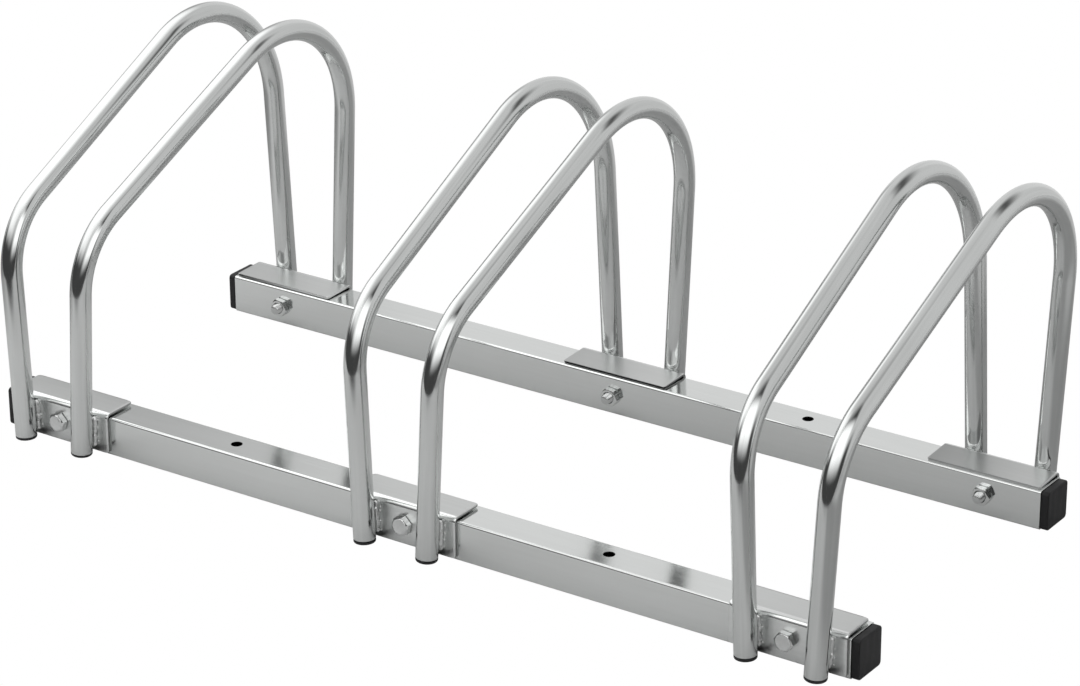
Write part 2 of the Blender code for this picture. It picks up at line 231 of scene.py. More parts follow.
class Nodes:
    """Short calls for building one node tree."""

    def __init__(self, tree):
        self.tree = tree
        tree.nodes.clear()

    def new(self, kind, **values):
        node = self.tree.nodes.new(kind)
        for key, value in values.items():
            setattr(node, key, value)
        return node

    def link(self, source, target):
        self.tree.links.new(source, target)

    def feed(self, socket, value):
        if isinstance(value, bpy.types.NodeSocket):
            self.link(value, socket)
        else:
            socket.default_value = value

    def math(self, operation, a, b=0.0, c=None, clamp=False):
        node = self.new("ShaderNodeMath", operation=operation, use_clamp=clamp)
        self.feed(node.inputs[0], a)
        self.feed(node.inputs[1], b)
        if c is not None:
            self.feed(node.inputs[2], c)
        return node.outputs[0]

    def ramp(self, value, low, high, out_low=0.0, out_high=1.0, smooth=True):
        node = self.new("ShaderNodeMapRange")
        node.interpolation_type = "SMOOTHSTEP" if smooth else "LINEAR"
        node.clamp = True
        self.feed(node.inputs["Value"], value)
        for key, number in (
            ("From Min", low),
            ("From Max", high),
            ("To Min", out_low),
            ("To Max", out_high),
        ):
            self.feed(node.inputs[key], number)
        return node.outputs["Result"]

    def mix(self, factor, a, b):
        node = self.new("ShaderNodeMix", data_type="RGBA")
        self.feed(node.inputs[0], factor)
        for socket, value in ((node.inputs[6], a), (node.inputs[7], b)):
            if isinstance(value, bpy.types.NodeSocket):
                self.link(value, socket)
            else:
                socket.default_value = (*value, 1.0) if len(value) == 3 else value
        return node.outputs[2]

    def noise(self, vector, scale, detail=3.0, rough=0.5, distortion=0.0):
        node = self.new("ShaderNodeTexNoise")
        node.noise_dimensions = "3D"
        self.feed(node.inputs["Vector"], vector)
        node.inputs["Scale"].default_value = scale
        node.inputs["Detail"].default_value = detail
        node.inputs["Roughness"].default_value = rough
        node.inputs["Distortion"].default_value = distortion
        return node.outputs["Fac"]

    def mapping(self, vector, scale=(1, 1, 1), location=(0, 0, 0)):
        node = self.new("ShaderNodeMapping")
        self.feed(node.inputs["Vector"], vector)
        node.inputs["Scale"].default_value = scale
        node.inputs["Location"].default_value = location
        return node.outputs["Vector"]

    def bump(self, height, strength, distance, normal=None):
        node = self.new("ShaderNodeBump")
        node.inputs["Strength"].default_value = strength
        node.inputs["Distance"].default_value = distance
        self.feed(node.inputs["Height"], height)
        if normal is not None:
            self.link(normal, node.inputs["Normal"])
        return node.outputs["Normal"]


def zinc(name, color, along, roughness, wave, streak, attribute=None, seed=0.0, grain=110.0, edges=False):
    """Bright zinc plate over drawn or rolled steel.

    along is the axis that the steel was drawn along: its scale is small there, so that
    clouding, streaks and the slight waviness of the surface run along the piece. streak is
    how much the tone differs between streaks, wave how far the surface leans on its waves
    and grain how fine they are. With edges, the mesh's "sheared" points are dark raw steel
    with painted shade of the gap beside them laid over it, its "rolled" points are burnished
    and its "darker_top" points are darker.
    """
    material = bpy.data.materials.new(name)
    material.use_nodes = True
    n = Nodes(material.node_tree)
    out = n.new("ShaderNodeOutputMaterial")
    shader = n.new("ShaderNodeBsdfPrincipled")
    n.link(shader.outputs[0], out.inputs[0])
    if attribute:
        source = n.new("ShaderNodeAttribute", attribute_name=attribute)
        vector = source.outputs["Vector"]
    else:
        vector = n.new("ShaderNodeTexCoord").outputs["Object"]

    def along_piece(ratio, shift):
        stretch = [1.0, 1.0, 1.0]
        stretch[along] = ratio
        return n.mapping(vector, stretch, (seed + shift, seed * 0.7, seed * 0.3 - shift))

    streaks = n.noise(along_piece(0.03, 0.0), 380.0, 3.0, 0.5)
    clouds = n.noise(along_piece(0.25, 1.0), 45.0, 3.0, 0.55)
    tone = n.math("ADD", n.math("MULTIPLY", streaks, 0.6), n.math("MULTIPLY", clouds, 0.4))
    dark = tuple(c * (1.0 - 0.6 * streak) for c in color)
    light = tuple(min(1.0, c * (1.0 + 0.4 * streak)) for c in color)
    tint = n.mix(n.ramp(tone, 0.35, 0.65), dark, light)
    rough = n.math("ADD", n.ramp(streaks, 0.3, 0.7, -0.2 * streak, 0.2 * streak), roughness)
    rough = n.math("ADD", rough, n.ramp(clouds, 0.3, 0.7, -0.01, 0.015))
    if edges:
        sheared = n.new("ShaderNodeAttribute", attribute_name="sheared").outputs["Fac"]
        rolled = n.new("ShaderNodeAttribute", attribute_name="rolled").outputs["Fac"]
        darker_top = n.new("ShaderNodeAttribute", attribute_name="darker_top").outputs["Fac"]
        # The top faces that the mesh marks are made darker
        tint = n.mix(darker_top, tint, (0.02, 0.021, 0.021))
        # Painted shade: the cut edges are dark raw steel with the shade of the gap beside them laid over
        # it
        tint = n.mix(sheared, tint, (0.035, 0.036, 0.036))
        rough = n.math("ADD", rough, n.math("MULTIPLY", rolled, -0.55 * roughness))
        rough = n.math("ADD", rough, n.math("MULTIPLY", sheared, 0.15))
    n.link(tint, shader.inputs["Base Color"])
    n.link(rough, shader.inputs["Roughness"])
    shader.inputs["Metallic"].default_value = 1.0

    waves = n.noise(along_piece(0.12, 2.0), grain, 1.0, 0.4)
    lines = n.noise(along_piece(0.02, 3.0), 300.0, 1.0, 0.4)
    normal = n.bump(waves, wave, 0.0010)
    normal = n.bump(lines, wave, 0.0004, normal)
    n.link(normal, shader.inputs["Normal"])
    return material


def plastic(name, color, roughness, grain):
    """Black moulded plastic with a fine eroded grain and faint handling marks."""
    material = bpy.data.materials.new(name)
    material.use_nodes = True
    n = Nodes(material.node_tree)
    out = n.new("ShaderNodeOutputMaterial")
    shader = n.new("ShaderNodeBsdfPrincipled")
    n.link(shader.outputs[0], out.inputs[0])
    vector = n.new("ShaderNodeTexCoord").outputs["Object"]
    grains = n.noise(vector, 1900.0, 3.0, 0.6)
    marks = n.noise(n.mapping(vector, (1, 1, 0.25)), 160.0, 4.0, 0.6)
    light = tuple(c * 1.35 for c in color)
    n.link(n.mix(n.ramp(marks, 0.4, 0.75), color, light), shader.inputs["Base Color"])
    rough = n.math("ADD", n.ramp(marks, 0.3, 0.7, -0.05, 0.06), roughness, clamp=True)
    n.link(rough, shader.inputs["Roughness"])
    shader.inputs["Specular IOR Level"].default_value = 0.4
    n.link(n.bump(grains, grain, 0.00012), shader.inputs["Normal"])
    return material


# ================================================================ finishes

ZINC = (0.67, 0.683, 0.677)
zinc_tube = zinc("zinc_tube", ZINC, 2, 0.09, 0.10, 0.10, attribute="straight", seed=0.3)
zinc_rail = zinc("zinc_rail", (0.765, 0.78, 0.772), 0, 0.10, 0.03, 0.03, seed=1.7)
zinc_plate = zinc("zinc_plate", (0.80, 0.813, 0.806), 0, 0.30, 0.03, 0.04, seed=3.1, edges=True)
zinc_weld = zinc("zinc_weld", (0.80, 0.805, 0.80), 2, 0.30, 0.20, 0.10, seed=4.9, grain=500.0)
zinc_bolt = zinc("zinc_bolt", (0.70, 0.71, 0.705), 1, 0.13, 0.28, 0.06, seed=6.1, grain=420.0)
# A darker copy of the bolt zinc: painted shade that dims the rear bolt ends
zinc_bolt_rear_shaded = zinc("zinc_bolt_rear_shaded", (0.60, 0.61, 0.605), 1, 0.24, 0.3, 0.06, seed=7.3, grain=420.0)
black_cap = plastic("black_cap", (0.007, 0.007, 0.008), 0.50, 0.35)
black_plug = plastic("black_plug", (0.016, 0.016, 0.017), 0.50, 0.30)


# ================================================================ hoops


def hoop_centre_line(rise):
    """Points (y, z) along one hoop's centre line, in its own plane, in mm."""
    slope = atan2(REAR_CORNER_H - FRONT_CORNER_H, LEG_SPAN)
    front_turn, rear_turn = pi / 2 - FRONT_TILT - slope, pi / 2 + slope
    front_trim = FRONT_BEND_R * tan(front_turn / 2)
    rear_trim = REAR_BEND_R * tan(rear_turn / 2)
    rear_z = REAR_CORNER_H - rear_trim
    rise, run = cos(FRONT_TILT), sin(FRONT_TILT)
    leg_top = (-LEG_Y - front_trim * run, FRONT_CORNER_H - front_trim * rise)
    points = []

    def straight(start, end, step):
        count = max(1, ceil(hypot(end[0] - start[0], end[1] - start[1]) / step))
        for i in range(count):
            t = i / count
            points.append(tuple(a + (b - a) * t for a, b in zip(start, end)))

    def arc(centre, radius, first, last, step_deg):
        count = ceil(abs(last - first) / radians(step_deg))
        for i in range(count):
            a = first + (last - first) * i / count
            points.append((centre[0] + radius * cos(a), centre[1] + radius * sin(a)))

    front_centre = (leg_top[0] + FRONT_BEND_R * rise, leg_top[1] - FRONT_BEND_R * run)
    rear_centre = (LEG_Y - REAR_BEND_R, rear_z)
    bend_out = (
        front_centre[0] + FRONT_BEND_R * cos(pi / 2 + slope),
        front_centre[1] + FRONT_BEND_R * sin(pi / 2 + slope),
    )
    bend_in = (
        rear_centre[0] + REAR_BEND_R * cos(rear_turn),
        rear_centre[1] + REAR_BEND_R * sin(rear_turn),
    )
    end = LEG_END_H + rise
    straight((-LEG_Y - FOOT_OUT + rise * tan(FRONT_TILT), end), leg_top, 12)
    arc(front_centre, FRONT_BEND_R, pi - FRONT_TILT, pi / 2 + slope, 2.0)
    straight(bend_out, bend_in, 12)
    arc(rear_centre, REAR_BEND_R, rear_turn, 0.0, 2.0)
    straight((LEG_Y, rear_z), (LEG_Y, end), 12)
    points.append((LEG_Y, end))
    return points


def hoop_mesh(name, seed, rise):
    """Hollow tube with rounded ends; 'straight' holds its points as if it had not been bent."""
    line = hoop_centre_line(rise)
    count = len(line)
    sides = 56
    length = [0.0]
    for a, b in zip(line, line[1:]):
        length.append(length[-1] + hypot(b[0] - a[0], b[1] - a[1]))
    directions = []
    for i in range(count):
        a, b = line[max(0, i - 1)], line[min(count - 1, i + 1)]
        d = hypot(b[0] - a[0], b[1] - a[1])
        directions.append(((b[0] - a[0]) / d, (b[1] - a[1]) / d))
    directions[0], directions[-1] = (sin(FRONT_TILT), cos(FRONT_TILT)), (0.0, -1.0)

    def ring(i, radius, shift=0.0):
        (y, z), (dy, dz) = line[i], directions[i]
        y, z = y + dy * shift, z + dz * shift
        points, flat = [], []
        for k in range(sides):
            a = 2 * pi * k / sides
            across, up = radius * cos(a), radius * sin(a)
            points.append((across, y - dz * up, z + dy * up))
            flat.append((across, up, length[i] + shift))
        return points, flat

    edge = 0.35
    inner = TUBE_R - TUBE_WALL
    rings = []
    for k in range(5):
        a = pi / 2 * k / 4
        rings.append(ring(0, TUBE_R - edge * (1 - sin(a)), edge * (1 - cos(a))))
    first = next(i for i in range(count) if length[i] > 2.0)
    last = next(i for i in range(count - 1, 0, -1) if length[i] < length[-1] - 2.0)
    for i in range(first, last + 1):
        rings.append(ring(i, TUBE_R))
    for k in range(4, -1, -1):
        a = pi / 2 * k / 4
        rings.append(ring(count - 1, TUBE_R - edge * (1 - sin(a)), -edge * (1 - cos(a))))
    rings.append(ring(count - 1, inner))
    for i in range(last, first - 1, -1):
        rings.append(ring(i, inner))
    rings.append(ring(0, inner))
    verts, faces = loft([r[0] for r in rings], wrap=True)
    flat = [p for r in rings for p in r[1]]
    mesh = mesh_of(verts, faces, name)
    data = mesh.attributes.new("straight", "FLOAT_VECTOR", "POINT")
    offset = seed * 0.137
    values = np.array(flat, np.float32) * MM
    values[:, 2] += offset
    values[:, 0] += offset * 0.31
    data.data.foreach_set("vector", values.ravel())
    return shade(mesh, 40)


def hoop_matrix(index, sign):
    x = (index - 1) * PITCH + LEG_SHIFT + sign * LEG_PAIR / 2
    return Matrix.Translation((x * MM, CENTRE_Y * MM, 0)) @ Matrix.Rotation(sign * LEAN, 4, "Y")


# ================================================================ leg plugs and rail caps


def turned(profile, sides, name):
    """Solid of revolution about Z; profile runs from the axis round the outside to the axis."""
    rings = []
    for radius, height in profile[1:-1]:
        rings.append(
            [
                (radius * cos(2 * pi * k / sides), radius * sin(2 * pi * k / sides), height)
                for k in range(sides)
            ]
        )
    verts, faces = loft(rings, caps=(False, False))
    for end, ring in ((profile[0], 0), (profile[-1], len(rings) - 1)):
        verts.append((0.0, 0.0, end[1]))
        centre = len(verts) - 1
        for k in range(sides):
            faces.append((centre, ring * sides + k, ring * sides + (k + 1) % sides))
    return mesh_of(verts, faces, name)


def leg_plug_mesh(name, rim):
    outer, stem = TUBE_R - 0.02, TUBE_R - TUBE_WALL - 0.1
    # Shallow domed foot
    profile = [(0, -rim), (4.5, -rim), (6.2, 0.04 - rim), (6.9, 0.16 - rim)]
    profile += [(7.4, 0.38 - rim), (7.72, 0.66 - rim), (7.9, 0.98 - rim), (7.97, 1.3 - rim)]
    profile += [
        (outer, -0.32),
        (outer - 0.12, -0.2),
        (stem, -0.2),
        (stem, PLUG_STEM - 0.6),
        (stem - 0.6, PLUG_STEM),
        (stem - 2.0, PLUG_STEM),
        (stem - 2.0, 0.2),
        (0, 0.2),
    ]
    return shade(turned(profile, 48, name), 35)


def rail_cap_mesh(name):
    """Cap whose flange is on the +X side of x = 0; the stem, with grip ribs, is in the rail."""
    corner, edge, steps = 3.0, 1.0, 8
    rings = []

    def add(side, radius, x):
        rings.append(rounded_square(side, max(radius, 0.05), steps, x))

    add(CAP - 2 * 3.2, 1.4, CAP_FLANGE)
    add(CAP - 2 * edge - 0.2, corner - edge, CAP_FLANGE)
    for k in range(1, 7):
        a = pi / 2 * k / 6
        inset = edge * (1 - sin(a))
        add(CAP - 2 * inset, corner - inset, CAP_FLANGE - edge + edge * cos(a))
    add(CAP, corner, 1.1)
    add(CAP - 0.5, corner - 0.2, 0.85)
    add(CAP - 0.5, corner - 0.2, 0.45)
    add(CAP - 0.9, corner - 0.4, GAP)
    stem = RAIL - 2 * RAIL_WALL - 0.3
    add(stem, 0.9, GAP)
    for k in range(4):
        x = -1.5 - 2.6 * k
        add(stem - 0.7, 0.8, x + 0.9)
        add(stem - 0.7, 0.8, x)
        add(stem, 0.9, x - 0.3)
        add(stem, 0.9, x - 0.8)
    add(stem - 1.2, 0.7, -CAP_STEM)
    add(stem - 4.0, 0.5, -CAP_STEM)
    add(stem - 4.0, 0.5, GAP)
    verts, faces = loft(rings)
    return shade(mesh_of(verts, faces, name), 32)


# ================================================================ rails


def rail_object(name, matrix, bolts, anchor_y):
    """Square tube with rolled corners, drilled through for three bolts and two ground screws."""
    edge = 0.25
    half = RAIL_LENGTH / 2
    inner = RAIL - 2 * RAIL_WALL
    rings = []
    for side, corner, x in (
        (RAIL - 2 * edge, RAIL_CORNER - edge, -half),
        (RAIL - 0.6 * edge, RAIL_CORNER - 0.3 * edge, -half + 0.3 * edge),
        (RAIL, RAIL_CORNER, -half + edge),
        (RAIL, RAIL_CORNER, half - edge),
        (RAIL - 0.6 * edge, RAIL_CORNER - 0.3 * edge, half - 0.3 * edge),
        (RAIL - 2 * edge, RAIL_CORNER - edge, half),
        (inner, 0.7, half),
        (inner, 0.7, -half),
    ):
        rings.append(rounded_square(side, corner, 10, x))
    verts, faces = loft(rings, wrap=True)
    obj = place(mesh_of(verts, faces, name), name)
    cutters = []
    for x, height in bolts:
        z = height - RAIL / 2
        cutters.append(rod(4.3, (x, -RAIL, z), (x, RAIL, z)))
    for side in (-1, 1):
        x = side * ANCHOR_X
        cutters.append(rod(ANCHOR_R, (x, anchor_y, -RAIL), (x, anchor_y, RAIL)))
    cut(obj, cutters)
    weigh_normals(obj, 30)
    obj.data.transform(matrix)
    return obj


# ================================================================ brackets


def bracket_object(name, side, lean, bolt_x, bolt_z, raw_and_shade, ends, sag, short, darker_top):
    """Bent plate swept along its own section. y = 0 is the outer face of the upright flange.

    The sheared ends are undercut, the free corners are rounded, and the sheared edge of the
    top flange leans back by lean mm at -X and at +X. raw_and_shade is how dark that edge is
    there, and ends how dark the two end faces are: dark raw steel with painted shade of the
    gap beside the plate laid over it. The top flange drops by sag mm towards its free edge,
    which is short mm further back. darker_top is how much darker the top face of the top
    flange is made at -X and at +X.
    """
    depth = BRACKET_DEPTH[side] - short
    outer, corner, half = 4.3, 2.0, BRACKET_LENGTH / 2
    low, turn_z = BRACKET_LOW, BRACKET_TOP - outer
    # Rim of the cut end, from the outer face inwards: how far in from the end, and how deep.
    # The shear has drawn the face down a little beside the cut.
    rim = ((2.6, 0.0), (1.5, 0.02), (0.7, 0.1), (0.2, 0.26), (0.03, 0.46), (0.0, 0.62))
    rim += ((0.02, 1.25), (0.24, 1.65), (0.45, PLATE))
    stations = []

    def narrow(d):
        return corner - sqrt(max(0.0, corner**2 - (corner - min(d, corner)) ** 2))

    steps = [corner * (1 - cos(pi / 2 * k / 6)) for k in range(7)]
    for d in steps:
        stations.append(((0.0, low + d), (1.0, 0.0), narrow(d)))
    stations.append(((0.0, turn_z - 0.4), (1.0, 0.0), 0.0))
    for k in range(17):
        a = pi / 2 * k / 16
        point = (outer - outer * cos(a), turn_z + outer * sin(a))
        stations.append((point, (cos(a), -sin(a)), 0.0))
    stations.append(((outer + 0.4, BRACKET_TOP), (0.0, -1.0), 0.0))
    for d in reversed(steps):
        stations.append(((depth - d, BRACKET_TOP), (0.0, -1.0), narrow(d)))
    rings, sheared, rolled, darkened_tops = [], [], [], []
    last = len(stations) - 1
    for number, ((y, z), (ny, nz), less) in enumerate(stations):
        right, left = [], []
        for inset, deep in rim:
            for sign, row in ((1, right), (-1, left)):
                along = 0.0
                if number in (0, last):
                    along = {0.0: 0.3, 0.02: 0.2, 0.1: 0.1}.get(deep, 0.0)
                if number == last:
                    back = lean[0] if sign < 0 else lean[1]
                    along += back * max(0.0, 1 - deep / 1.65) + (0.25 if deep == PLATE else 0.0)
                x = sign * (half - less - inset)
                # the other direction of the plate at this station
                ty, tz = nz, -ny
                ring_y, ring_z = y + ny * deep, z + nz * deep
                ring_z -= sag * max(0.0, y - outer) / (depth - outer)
                if number == 0:
                    ring_z += along
                elif number == last:
                    ring_y -= along
                # How dark the cut faces are: raw steel with painted shade of the gap beside the plate
                # laid over it
                dark = ends
                if number > last - 7:
                    dark = raw_and_shade[0] if sign < 0 else raw_and_shade[1]
                on_edge = dark if 0.4 < deep < 1.7 else 0.0
                bent = sin(2 * asin(min(1.0, (number - 7.5) / 17))) if 8 <= number <= 24 else 0.0
                # The top face of the top flange is made darker by the given amounts
                grey = (darker_top[0] if sign < 0 else darker_top[1]) if number > 24 and deep < 0.5 else 0.0
                row.append(((x, ring_y, ring_z), on_edge, bent, grey))
        line = list(reversed(left)) + right
        rings.append([point for point, _, _, _ in line])
        sheared += [value for _, value, _, _ in line]
        rolled += [value for _, _, value, _ in line]
        darkened_tops += [value for _, _, _, value in line]
    verts, faces = loft(rings, caps=(False, False))
    n, rows = len(rings[0]), len(rim)
    for ring in (0, len(rings) - 1):
        base = ring * n
        for k in range(rows - 1):
            faces.append((base + rows + k, base + rows + k + 1, base + rows - 2 - k, base + rows - 1 - k))
    mesh = mesh_of(verts, faces, name)
    for label, values in (("sheared", sheared), ("rolled", rolled), ("darker_top", darkened_tops)):
        data = mesh.attributes.new(label, "FLOAT", "POINT")
        data.data.foreach_set("value", np.array(values, np.float32))
    obj = place(mesh, name)
    cut(obj, [rod(4.3, (bolt_x, -3 * PLATE, bolt_z), (bolt_x, 3 * PLATE, bolt_z))])
    weigh_normals(obj, 40)
    return obj


def leg_out(row, z):
    """How far a leg's centre line at height z is outside that of an upright leg."""
    return (FRONT_CORNER_H - z) * tan(FRONT_TILT) if row == "front" else 0.0


def weld_mesh(name, row, seed):
    """Hand-laid beads down both sides of both legs: uneven blobs, gaps and a few drops."""
    verts, faces = [], []
    sides = 24
    reach, bead, bare = (4.7, 1.75, 4.2) if row == "front" else (6.6, 1.6, 1.5)

    def add(rings):
        v, f = loft(rings)
        base = len(verts)
        verts.extend(v)
        faces.extend(tuple(base + q for q in face) for face in f)

    for leg in (-1, 1):
        for side in (-1, 1):
            key = seed + 7.3 * leg + 3.1 * side
            low = BRACKET_LOW + bare + 1.6 * noise.noise((key, 0.3, 0.7))
            high = BRACKET_TOP - 3.4 + 1.0 * noise.noise((key, 1.9, 0.2))
            count = 84
            rings = []
            for i in range(count + 1):
                t = i / count
                z = low + (high - low) * t
                # Ends close like a drop
                end = min(1.0, sqrt(max(0.0, 1 - (1 - min(1.0, t * 9)) ** 2))) * min(
                    1.0, sqrt(max(0.0, 1 - (1 - min(1.0, (1 - t) * 9)) ** 2))
                )
                blob = abs(sin(z * 0.55 + key + 1.1 * noise.noise((key, z * 0.11, 4.0))))
                swell = 0.7 * noise.noise((key, z * 0.21, 3.0)) + 0.5 * (blob - 0.6)
                radius = (bead + swell) * max(end, 0.02)
                leg_x = leg * (LEG_PAIR / 2 + z * tan(LEAN))
                cx = leg_x + side * (reach + 0.5 * noise.noise((key, 5.0, z * 0.17)))
                cy = -0.45 - 0.55 * leg_out(row, z) + 0.3 * noise.noise((key, z * 0.2, 9.0))
                ring = []
                for k in range(sides):
                    a = 2 * pi * k / sides
                    lump = noise.noise((cos(a) * 1.6 + key, sin(a) * 1.6, z * 0.45))
                    r = radius * (1 + 0.2 * lump)
                    px, py = cx + r * cos(a), cy + r * sin(a)
                    ring.append((px, min(max(py, -3.3), 1.0), z))
                rings.append(ring)
            add(rings)
            for drop in range(4):
                where = (key * 1.7 + drop * 2.3, 4.4, 0.9)
                z = low + (high - low) * (0.12 + 0.25 * drop + 0.12 * noise.noise(where))
                size = 0.62 + 0.35 * noise.noise((key, drop * 3.1, 2.0))
                leg_x = leg * (LEG_PAIR / 2 + z * tan(LEAN))
                cx = leg_x + side * (reach + bead + 0.4 + 0.9 * noise.noise((drop * 1.9, key, 1.0)))
                rings = []
                for i in range(1, 10):
                    b = pi * i / 10
                    rings.append(
                        [
                            (
                                cx + size * sin(b) * cos(2 * pi * k / 14),
                                -0.1 + size * 0.8 * sin(b) * sin(2 * pi * k / 14),
                                z - size * 1.25 * cos(b),
                            )
                            for k in range(14)
                        ]
                    )
                add(rings)
    return shade(mesh_of(verts, faces, name), 60)


# ================================================================ fasteners


def hex_ring(sides, y, flats, turn, chamfer_r=None, chamfer=0):
    ring = []
    for k in range(sides):
        a = 2 * pi * k / sides
        r = flats / 2 / cos((a + pi / 6) % (pi / 3) - pi / 6)
        # corners lightly rounded
        r = min(r, flats / 2 * 1.145)
        drop = (r - chamfer_r) * tan(radians(28)) if chamfer_r and r > chamfer_r else 0.0
        ring.append((r * cos(a + turn), y - chamfer * drop, r * sin(a + turn)))
    return ring


def round_ring(sides, radius, y, turn=0.0):
    return [
        (radius * cos(2 * pi * k / sides + turn), y, radius * sin(2 * pi * k / sides + turn))
        for k in range(sides)
    ]


def bolt_mesh(name, turn):
    """Hex bolt along +Y: the head's underside is at y = 0, and the thread ends in a dome."""
    sides = 72
    rings = [
        round_ring(sides, 0.6, -HEAD_H + 0.12, turn),
        round_ring(sides, 4.6, -HEAD_H + 0.12, turn),
        round_ring(sides, 5.0, -HEAD_H, turn),
        round_ring(sides, 5.6, -HEAD_H, turn),
        round_ring(sides, 5.9, -HEAD_H + 0.12, turn),
        round_ring(sides, 6.1, -HEAD_H + 0.36, turn),
        hex_ring(sides, -HEAD_H + 0.36, HEX_FLATS, turn, 6.15, -1),
        hex_ring(sides, -0.35, HEX_FLATS, turn),
        hex_ring(sides, -0.1, HEX_FLATS - 0.5, turn),
        round_ring(sides, 5.9, 0.0, turn),
        round_ring(sides, BOLT_R + 0.25, 0.0, turn),
        round_ring(sides, BOLT_R - 0.05, 0.3, turn),
    ]
    pitch, thread_from = 1.25, BOLT_LENGTH - 20.0
    rings.append(round_ring(sides, BOLT_R - 0.05, thread_from - 1.0, turn))
    steps = int((BOLT_LENGTH - 0.9 - thread_from) / pitch * 10)
    for i in range(steps + 1):
        y = thread_from + (BOLT_LENGTH - 0.9 - thread_from) * i / steps
        ring = []
        for k in range(sides):
            phase = (y / pitch - k / sides) % 1.0
            groove = abs(2 * phase - 1)
            groove = min(1.0, max(0.0, (groove - 0.14) / 0.72))
            start = min(1.0, (y - thread_from) / 1.5)
            top = BOLT_R - 0.08
            radius = top - 0.68 * (1 - groove) * start
            lead = BOLT_LENGTH - 0.9 - y
            radius = min(radius, BOLT_R - 0.85 + lead * 0.8)
            a = 2 * pi * k / sides + turn
            ring.append((radius * cos(a), y, radius * sin(a)))
        rings.append(ring)
    for k in range(1, 7):
        a = pi / 2 * k / 7
        rings.append(round_ring(sides, (BOLT_R - 0.85) * cos(a), BOLT_LENGTH - 0.9 + 0.9 * sin(a), turn))
    verts, faces = loft(rings)
    return shade(mesh_of(verts, faces, name), 24)


def nut_mesh(name, turn):
    sides = 72
    rings = [
        round_ring(sides, 4.05, 1.0, turn),
        round_ring(sides, 4.75, 0.3, turn),
        round_ring(sides, 4.75, 0.0, turn),
        round_ring(sides, 5.95, 0.0, turn),
        round_ring(sides, 6.15, 0.06, turn),
        hex_ring(sides, 0.06, HEX_FLATS, turn, 6.15, -1),
        hex_ring(sides, NUT_H - 0.06, HEX_FLATS, turn, 6.15, 1),
        round_ring(sides, 6.15, NUT_H - 0.06, turn),
        round_ring(sides, 5.95, NUT_H, turn),
        round_ring(sides, 4.75, NUT_H, turn),
        round_ring(sides, 4.05, NUT_H - 0.8, turn),
    ]
    verts, faces = loft(rings, wrap=True)
    return shade(mesh_of(verts, faces, name), 24)


# ================================================================ build


def finish_piece(obj, node, material):
    obj.data.materials.clear()
    obj.data.materials.append(material)
    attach(obj, "root")
    if node:
        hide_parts(node)
    return obj


for index, holder in enumerate(HOLDERS):
    for which, sign in (("left", -1), ("right", 1)):
        node = f"{holder}_holder_{which}_hoop"
        matrix = hoop_matrix(index, sign)
        seed = index * 2 + (sign > 0)
        rise = TUBE_RISE[holder][sign > 0]
        rim = PLUG_RIM + rise - PLUG_RISE[holder][sign > 0]
        hoop = place(hoop_mesh(f"fine_{node}", seed, rise), f"fine_{node}", matrix=matrix)
        finish_piece(hoop, node, zinc_tube)
        for side, y, tilt in (("front", -LEG_Y - FOOT_OUT, FRONT_TILT), ("rear", LEG_Y, 0.0)):
            plug = f"{node}_{side}_plug"
            end = Vector((0, y + rise * tan(tilt), LEG_END_H + rise)) * MM
            at = matrix @ Matrix.Translation(end) @ Matrix.Rotation(-tilt, 4, "X")
            piece = place(leg_plug_mesh(f"fine_{plug}", rim), f"fine_{plug}", matrix=at)
            finish_piece(piece, plug, black_plug)

# How far the sheared edge of each top flange leans back, in mm, at its -X and +X ends as
# seen from its own side, how dark that edge is there and how dark the plate's ends are (raw
# steel with painted shade of the gap beside the plate laid over it), how far the flange drops
# towards the edge, how much shorter than its frame the flange is, and how much darker the
# top face of the flange is made
EDGE_LEAN = {"front": ((0.2, 0.2),) * 3, "rear": ((0.1, 0.5), (0.3, 0.3), (0.3, 0.3))}
EDGE_RAW_AND_SHADE = {"front": ((0.5, 0.5),) * 3, "rear": ((-0.5, 0.95), (1.0, 1.0), (0.25, 0.25))}
EDGE_ENDS = {"front": (0.5, 0.5, 0.5), "rear": (0.25, 0.7, 0.4)}
EDGE_SAG = {"front": (0.0, 0.15, 0.0), "rear": (0.55, 0.9, 1.05)}
EDGE_SHORT = {"front": (0.0, 0.0, 0.0), "rear": (0.6, 1.0, 1.0)}
DARKER_TOP = {
    "front": ((0.31, 0.27), (0.19, 0.19), (0.19, 0.25)),
    "rear": ((0.11, 0.13), (0.17, 0.38), (0.24, 0.58)),
}
# How far each hex head and nut is turned, in degrees
BOLT_TURN = {"front": (45, 46, 25), "rear": (4, 22, 41)}
NUT_TURN = {"front": (10, 33, 50), "rear": (38, 37, 31)}

